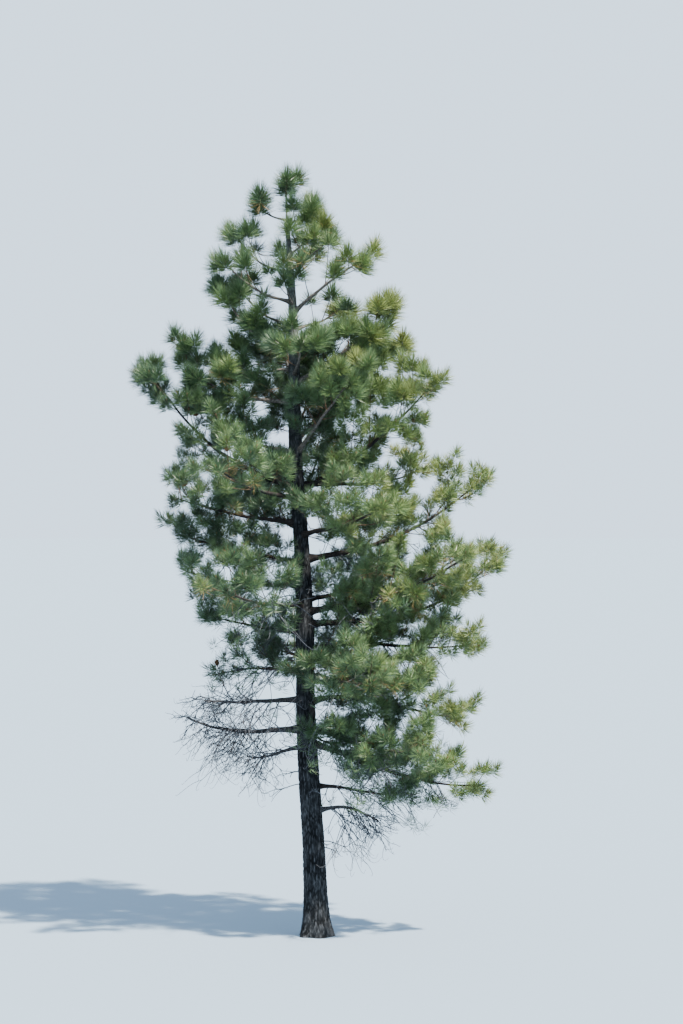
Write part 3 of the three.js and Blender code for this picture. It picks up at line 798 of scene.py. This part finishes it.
def bare_twigs(start, heading, length, radius, order, random):
    """A bare twig that droops and hooks up again, with finer ones on it down to this order."""
    side, over = side_and_over(heading)
    bend = swing(random, length)
    droop = length * between(random, *DROOPS)
    elbow = start + heading * BARE_ELBOW * length + side * BARE_ELBOW_BEND * bend
    turn = start + heading * BARE_TURN * length + side * BARE_TURN_BEND * bend
    turn -= UP * BARE_TURN_DROOP * droop
    end = start + heading * length - UP * droop * between(random, *HOOKS)
    controls = (start, elbow, turn, end)
    stems = [(controls, BARE_STEPS if order else FINEST_STEPS, radius)]
    for k in range(FORKS if order else 0):
        place, along = bezier(controls, FORK_START + FORK_SPACING * (k + next(random)))
        side, over = side_and_over(along)
        hand = side * (1 if k % 2 else -1) + over * between(random, *FORK_TILTS)
        onward = (along + hand.normalized() * FORK_SPREAD).normalized()
        finer = length * between(random, *FORK_LENGTHS)
        stems += bare_twigs(place, onward, finer, FORK_RADIUS * radius, order - 1, random)
    return stems


def bare_twigs_of(limb, stretch, spacing, order):
    """Bare twigs along a stretch of a limb, to its sides, upwards and downwards, shorter outwards."""
    random = seeded_random(limb["seed"] + BARE_SEED)
    first, last = stretch
    stems = []
    for k in range(round((last - first) * limb["length"] / spacing)):
        share = between(random, first, last)
        start, along = bezier(limb["controls"], share)
        side, over = side_and_over(along)
        hand = side * (1 if k % 2 else -1) + over * between(random, *BARE_TILTS)
        heading = (along * between(random, *BARE_ONWARDS) + hand.normalized()).normalized()
        length = BARE_LENGTH * between(random, *BARE_LENGTHS)
        length *= BARE_INNER_LENGTH - BARE_SHORTENING * share
        stems += bare_twigs(start, heading, length, BARE_RADIUS, order, random)
    return stems


DEAD_TONES = ((0.01, 0.01, 0.012), (0.026, 0.026, 0.028), (0.075, 0.075, 0.078))
DEAD_SCALES = 45
dead_bark = bark_material("dead_wood", *DEAD_TONES, DEAD_SCALES)
dead_stems = limb_piece("dead_limbs", dead_limbs)
side_twigs = []
for limb in dead_limbs:
    if limb["foliage"] == "bare":
        for k, twig in enumerate(twigs_of(limb)):
            shoots = shoots_of(twig, limb["seed"] + SHOOT_SEED_STEP * k)
            side_twigs += [twig_tube(twig)] + [shoot_tube(shoot) for shoot in shoots]
dead_twigs = joined("dead_side_twigs", side_twigs)
for piece in (dead_stems, dead_twigs):
    piece.data.materials.append(dead_bark)
    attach(piece, "root")
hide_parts("bough_broken_bough", *[f"twigs_dead_left_{k}" for k in (1, 2, 3)])

bare_stems = []
thin_sprays = []
chance = seeded_random(THIN_SPRAY_SEED)
for limb in dead_limbs:
    bare_stems += bare_twigs_of(limb, DEAD_STRETCH, DEAD_TWIG_SPACING, 2)
for limb in live_limbs:
    if limb["controls"][0].z < SHADED_HEIGHT:
        sparse = limb["foliage"] == "sparse"
        crowded = sparse or limb["controls"][0].z < LOWEST_HEIGHT
        spacing = LOWEST_TWIG_SPACING if crowded else SHADED_TWIG_SPACING
        stems = bare_twigs_of(limb, SPARSE_STRETCH if sparse else SHADED_STRETCH, spacing, 1)
        bare_stems += stems
        thin_sprays += [controls for controls, steps, radius in stems if next(chance) < THIN_SPRAYS]
random = seeded_random(STUB_SEED)
for k in range(STUBS):
    foot = trunk_centre(between(random, *STUB_HEIGHTS))
    turn = 2 * math.pi * next(random)
    heading = Vector((math.cos(turn), math.sin(turn), swing(random, STUB_RISE_SWING))).normalized()
    start = foot + heading * trunk_radius(foot.z) * STUB_DEPTH
    bare_stems += bare_twigs(start, heading, between(random, *STUB_LENGTHS), BARE_RADIUS, 1, random)

BARE_TONES = ((0.02, 0.021, 0.024), (0.055, 0.058, 0.065), (0.15, 0.155, 0.17))
bare_tubes = []
for controls, steps, radius in bare_stems:
    bare_tubes.append(curve_tube(controls, steps, radius, BARE_TAPER * radius, BARE_SIDES))
bare_wood = joined("bare_twigs", bare_tubes)
bare_wood.data.materials.append(bark_material("bare_twigs", *BARE_TONES, DEAD_SCALES))
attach(bare_wood, "root")

# Needles. Each real shoot ends in a brush of needles about 0.2 m long, older ones spreading at the
# back and young ones pointing forward. Their tints are painted shade, dark inside the crown, low down
# and on the left, and painted sunlight, yellow-green outwards and on the right where the sun falls,
# with some tone that differs at random.
NEEDLE_LENGTH = 0.19
TOP_NEEDLE_LENGTH = 0.29
NEEDLE_WIDTH = 0.0078
NEEDLES_PER_BRUSH = 174
TOP_NEEDLES_PER_BRUSH = 420
NEEDLE_LENGTHS = (0.8, 1.08)
SMALL_BRUSH_LENGTH = 0.8
NEEDLE_SHOULDER = 0.28
NEEDLE_CURVE = 0.14
NEEDLE_SAG = 0.012
NEEDLE_SAG_SHARES = np.array([0, 0.3, 0.3, 1.0])
GOLDEN_TURN = 2.39996
TURN_JITTER = 0.2
PLACE_JITTER = 0.12
SHOOT_SURFACE = 0.004
BRUSH_LENGTH = 0.15
BRUSH_OPENING = 92
BRUSH_LIFT = 0.55
TOP_BRUSH_LIFT = 1.1
BRUSH_SEED = 1000
SPARSE_SHARE = 0.55
OLD_BRUSHES = 0.05
OLD_BRUSH_SEED = CROWN_SEED + 11
OLD_NEEDLES = 34
OLD_ANGLES = (55, 125)
THIN_NEEDLES = 34
THIN_SIZE = 0.8
THIN_ANGLES = (0, 105)
THIN_SEED = 9000
MIXED_SHARE = 0.5
PIECE_LIMIT = 180000
OLD_TINT = (0.2, 0.125, 0.045)
# The needle tints run from painted shade (deep, cool) through mid to painted light (pale, sunlit, yellow).
NEEDLE_TINTS = {
    "needles_painted_shade_deep": (0.028, 0.054, 0.024),
    "needles_painted_shade_cool": (0.042, 0.078, 0.034),
    "needles_mid": (0.061, 0.103, 0.04),
    "needles_painted_light_pale": (0.082, 0.13, 0.045),
    "needles_sunlit": (0.11, 0.158, 0.048),
    "needles_painted_light_yellow": (0.152, 0.186, 0.053),
}


def brush_end(controls):
    """Where a shoot ends, and the way its brush points: more upwards than the shoot, most so aloft."""
    end, along = bezier(controls, 1)
    lift = BRUSH_LIFT + (TOP_BRUSH_LIFT - BRUSH_LIFT) * vigour(controls)
    return end, (along + UP * lift).normalized()


def brush(controls, size, seed, count, low, high):
    """A brush of needles round a shoot's end, at angles to it from low to high, 4 points a needle."""
    random = np.random.default_rng(seed)
    end, along = brush_end(controls)
    spin = Quaternion((0, 0, 1), random.uniform(0, 2 * math.pi))
    turn = np.array((Vector((0, 0, 1)).rotation_difference(along) @ spin).to_matrix())
    angle = np.arccos(random.uniform(math.cos(math.radians(high)), math.cos(math.radians(low)), count))
    around = np.arange(count) * GOLDEN_TURN + random.normal(0, TURN_JITTER, count)
    longest = NEEDLE_LENGTH + (TOP_NEEDLE_LENGTH - NEEDLE_LENGTH) * vigour(controls)
    length = longest * (SMALL_BRUSH_LENGTH + (1 - SMALL_BRUSH_LENGTH) * size)
    length = length * random.uniform(*NEEDLE_LENGTHS, count)
    out = np.stack([np.cos(around), np.sin(around), np.zeros(count)], axis=1)
    axis = np.array([0, 0, 1.0])
    back = angle / math.radians(BRUSH_OPENING) + random.normal(0, PLACE_JITTER, count)
    root = out * SHOOT_SURFACE - axis * (back * BRUSH_LENGTH * size)[:, None]
    start = out * np.sin(angle)[:, None] + axis * np.cos(angle)[:, None]
    onward = out * np.sin(angle - NEEDLE_CURVE)[:, None] + axis * np.cos(angle - NEEDLE_CURVE)[:, None]
    middle = root + start * (NEEDLE_SHOULDER * length)[:, None]
    tip = middle + onward * ((1 - NEEDLE_SHOULDER) * length)[:, None]
    flat = np.cross(start, random.normal(0, 1, (count, 3)))
    flat /= np.linalg.norm(flat, axis=1)[:, None]
    wide = flat * (0.5 * NEEDLE_WIDTH)
    points = np.stack([root, middle + wide, middle - wide, tip], axis=1)
    points = points @ turn.T + np.array(end)
    return points - axis * (NEEDLE_SAG * NEEDLE_SAG_SHARES)[:, None]


# How far out, how far to the right and how low a spray sits sets its painted light or painted shade.
CROWN_TOP = TRUNK_HEIGHT + 0.6
CROWN_TIP_REACH = 0.35
CROWN_WIDENING = 0.26
WIDEST_REACH = 2.6
DEPTH_SHARE = 0.6
INNER_LIGHT = 0.12
LIGHT_OUTWARDS = 0.45
MOST_OUTWARDS = 1.1
LIGHT_IN_DEPTH = 0.03
LIGHT_TO_RIGHT = 0.075
LIGHT_TO_LEFT = 0.17
SHADE_BELOW = 4.8
SHADE_DEPTH = 1.6
SHADE_DOWNWARDS = 0.03
LIGHT_CHANCE = 0.12
TINT_SHIFT = 0.1
TINT_SEED = 9


def tint_of(controls, seed):
    """Which tint a spray takes: painted light, paler outwards and to the right; painted shade, deeper low
    down and on the left; and some chance.
    """
    random = np.random.default_rng(seed + TINT_SEED)
    end = controls[-1]
    centre = trunk_centre(end.z)
    across = end.x - centre.x
    out = math.hypot(across, DEPTH_SHARE * (end.y - centre.y))
    reach = min(CROWN_TIP_REACH + CROWN_WIDENING * (CROWN_TOP - end.z), WIDEST_REACH)
    light = INNER_LIGHT + LIGHT_OUTWARDS * min(out / reach, MOST_OUTWARDS)
    light += LIGHT_IN_DEPTH * abs(end.y)
    light += (LIGHT_TO_RIGHT if across > 0 else LIGHT_TO_LEFT) * across
    light -= SHADE_DOWNWARDS * min(max(SHADE_BELOW - end.z, 0), SHADE_DEPTH)
    light += LIGHT_CHANCE * random.normal()
    names = list(NEEDLE_TINTS)
    return names[int(min(max(light * len(names) + TINT_SHIFT, 0), len(names) - 1))]


sprays = {name: [] for name in [*NEEDLE_TINTS, "needles_old"]}
chance = seeded_random(OLD_BRUSH_SEED)
for index, (controls, size, mass) in enumerate(brushes):
    seed = BRUSH_SEED + index
    count = NEEDLES_PER_BRUSH + (TOP_NEEDLES_PER_BRUSH - NEEDLES_PER_BRUSH) * vigour(controls)
    count = int(count * size * (SPARSE_SHARE if mass["foliage"] == "sparse" else 1))
    sprays[tint_of(controls, seed)].append(brush(controls, size, seed, count, 0, BRUSH_OPENING))
    if next(chance) < OLD_BRUSHES:
        sprays["needles_old"].append(brush(controls, size, seed + 1, OLD_NEEDLES, *OLD_ANGLES))
# The thin sprays hanging in the shade take the mid tint or the painted-shade cool tint, at even chances.
for index, controls in enumerate(thin_sprays):
    tint = "needles_mid" if next(chance) < MIXED_SHARE else "needles_painted_shade_cool"
    sprays[tint].append(brush(controls, THIN_SIZE, THIN_SEED + index, THIN_NEEDLES, *THIN_ANGLES))


# The drift of tone through the crown, which makes needles darker or paler than their own tint.
DRIFT_SCALE = 5.0
DRIFT_DETAIL = 6.0
DRIFT_ROUGHNESS = 0.8
DRIFT_RANGE = (0.35, 0.65)
DRIFT_STRENGTHS = (0.55, 1.5)
needle_effect, given, result = effect_group("needle_drift", {"Tone": "Vector"}, {"Color": "Color"})
place = needle_effect.nodes.new("ShaderNodeTexCoord").outputs["Object"]
drift = noise_node(needle_effect, place, DRIFT_DETAIL, DRIFT_ROUGHNESS)
drift.inputs["Scale"].default_value = DRIFT_SCALE
toned = needle_effect.nodes.new("ShaderNodeVectorMath")
toned.operation = "SCALE"
needle_effect.links.new(given["Tone"], toned.inputs["Vector"])
strength = ranged(needle_effect, drift.outputs["Fac"], *DRIFT_RANGE, *DRIFT_STRENGTHS)
needle_effect.links.new(strength, toned.inputs["Scale"])
needle_effect.links.new(toned.outputs["Vector"], result["Color"])


def needle_material(name, colour):
    """Satin needles of one tint."""
    material, graph, surface = shader(name)
    effect = graph.nodes.new("ShaderNodeGroup")
    effect.node_tree = needle_effect
    effect.inputs["Tone"].default_value = colour
    graph.links.new(effect.outputs["Color"], surface.inputs["Base Color"])
    surface.inputs["Roughness"].default_value = 0.4
    surface.inputs["Specular IOR Level"].default_value = 0.4
    return material


for name, blocks in sprays.items():
    material = needle_material(name, NEEDLE_TINTS.get(name, OLD_TINT))
    parts = math.ceil(2 * sum(len(block) for block in blocks) / PIECE_LIMIT)
    for part in range(parts):
        needles = np.concatenate(blocks[part::parts]).reshape(-1, 3)
        first = np.arange(len(needles) // 4)[:, None] * 4
        halves = [first + np.array([0, 1, 2]), first + np.array([2, 1, 3])]
        piece = piece_from(f"{name}_{part + 1}", needles, halves, smooth=False)
        piece.data.materials.append(material)
        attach(piece, "root")

# Buds. A stout orange-brown bud stands in the middle of each brush, on the end of its shoot: a short
# tube of scales that widens from its foot and closes in a point.
BUD_LENGTH = 0.045
BUD_RADIUS = 0.008
BUD_FOOT = 0.7
BUD_SHOULDER = 0.6
BUD_SIDES = 4
BUD_TONES = ((0.05, 0.03, 0.015), (0.13, 0.075, 0.035), (0.24, 0.15, 0.08))
BUD_SCALES = 220
bud_tubes = []
for controls, size, mass in brushes:
    end, along = brush_end(controls)
    line = [end + along * BUD_LENGTH * share for share in (0, BUD_SHOULDER)]
    bud_tubes.append(tube(line, [BUD_FOOT * BUD_RADIUS, BUD_RADIUS], BUD_SIDES))
buds = joined("buds", bud_tubes)
buds.data.materials.append(bark_material("buds", *BUD_TONES, BUD_SCALES))
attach(buds, "root")

# Cones. A few old brown cones, about 0.1 m long, sit on the outer twigs, their scales in a spiral
# with open tips.
CONES = 26
CONE_SEED = CROWN_SEED + 23
CONE_LENGTH = 0.1
CONE_RADIUS = 0.036
CONE_GROWTH = (0.8, 1.2)
CONE_SCALES = 70
CONE_PLACE = 0.72
CONE_TONES = ((0.03, 0.016, 0.01), (0.13, 0.07, 0.035), (0.3, 0.17, 0.09))
CONE_TONE_SCALES = 90
CONE_LIMB = 0.8
CONE_OVER = 0.6
CONE_ONWARD = 0.4
CONE_NOD = 0.5
CONE_ENDS = (0.14, 0.78)
CONE_FULLNESS = 0.7
SCALE_ROOT = 0.25
SCALE_KEEL = 0.004
SCALE_HALF_WIDTH = 0.4
SCALE_RISE = 0.012
SCALE_THICKNESS = 0.006
SCALE_BEAK = 0.003
outer = [twig for twig, size, mass in brushes if size == TWIG_BRUSH and mass["length"] > CONE_LIMB]
chance = seeded_random(CONE_SEED)
cone_points, cone_faces = [], []
for k in range(CONES):
    twig = outer[int(next(chance) * len(outer))]
    foot, along = bezier(twig, CONE_PLACE)
    side, over = side_and_over(along)
    axis = side * swing(chance, 1) + over * CONE_OVER + along * CONE_ONWARD
    axis = (axis - UP * CONE_NOD * next(chance)).normalized()
    grow = between(chance, *CONE_GROWTH)
    across, upward = side_and_over(axis)
    for scale in range(CONE_SCALES):
        share = (scale + 0.5) / CONE_SCALES
        turn = GOLDEN_TURN * scale
        out = across * math.cos(turn) + upward * math.sin(turn)
        sideways = across * -math.sin(turn) + upward * math.cos(turn)
        swelling = math.sin(math.pi * (CONE_ENDS[0] + CONE_ENDS[1] * share)) ** CONE_FULLNESS
        wide = CONE_RADIUS * grow * swelling
        centre = foot + axis * CONE_LENGTH * grow * share
        root = centre + out * SCALE_ROOT * wide
        lip = centre + out * wide + axis * SCALE_RISE
        edge = sideways * SCALE_HALF_WIDTH * wide
        beak = lip + axis * SCALE_THICKNESS + out * SCALE_BEAK
        keel = root - axis * SCALE_KEEL
        first = len(cone_points)
        cone_points += [keel, lip - edge, lip + edge, root + axis * SCALE_RISE, beak]
        cone_faces += [(first, first + 2, first + 1), (first + 1, first + 2, first + 4),
                       (first + 3, first + 4, first + 2), (first + 3, first + 1, first + 4),
                       (first, first + 1, first + 3), (first, first + 3, first + 2)]
cones = piece_from("cones", cone_points, [cone_faces], smooth=False)
cones.data.materials.append(bark_material("cones", *CONE_TONES, CONE_TONE_SCALES))
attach(cones, "root")

# Stage. A plain pale floor under a pale sky, the sun high on the right in front of the tree, and a
# camera level with the middle of the crown.
FLOOR_SIZE = 600
FLOOR_COLOUR = (0.2085, 0.2685, 0.3325, 1)
SKY_COLOUR = (0.64, 0.81, 1.0, 1)
SKY_STRENGTH = 2.2
SUN_STRENGTH = 20.0
SUN_COLOUR = (1.0, 0.95, 0.86)
SUN_WIDTH = 2
SUNLIGHT_HEADING = (-0.55, 0.5, -1.15)
CAMERA_PLACE = (0.4, -40, 6.62)
floor_form = bmesh.new()
bmesh.ops.create_grid(floor_form, x_segments=1, y_segments=1, size=FLOOR_SIZE)
floor = piece_of("floor", floor_form)
floor_material, _, floor_surface = shader("floor")
floor_surface.inputs["Base Color"].default_value = FLOOR_COLOUR
floor_surface.inputs["Roughness"].default_value = 1.0
floor_surface.inputs["Specular IOR Level"].default_value = 0.0
floor.data.materials.append(floor_material)
floor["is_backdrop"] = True

world = bpy.data.worlds.new("sky")
world.use_nodes = True
background = world.node_tree.nodes["Background"]
background.inputs["Color"].default_value = SKY_COLOUR
background.inputs["Strength"].default_value = SKY_STRENGTH
bpy.context.scene.world = world

sun = bpy.data.lights.new("sun", "SUN")
sun.energy = SUN_STRENGTH
sun.angle = math.radians(SUN_WIDTH)
sun.color = SUN_COLOUR
sun_object = bpy.data.objects.new("sun", sun)
sun_object.rotation_euler = Vector(SUNLIGHT_HEADING).to_track_quat("-Z", "Y").to_euler()
bpy.context.scene.collection.objects.link(sun_object)

camera = bpy.data.cameras.new("camera")
camera.lens = 90
camera.sensor_width = 36
camera_object = bpy.data.objects.new("camera", camera)
camera_object.location = CAMERA_PLACE
camera_object.rotation_euler = (math.radians(90), 0, 0)
bpy.context.scene.collection.objects.link(camera_object)
bpy.context.scene.camera = camera_object

boxes = {"cad": cad_box, "visual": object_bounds()}
{key: [list(corner) for corner in box] for key, box in boxes.items()}
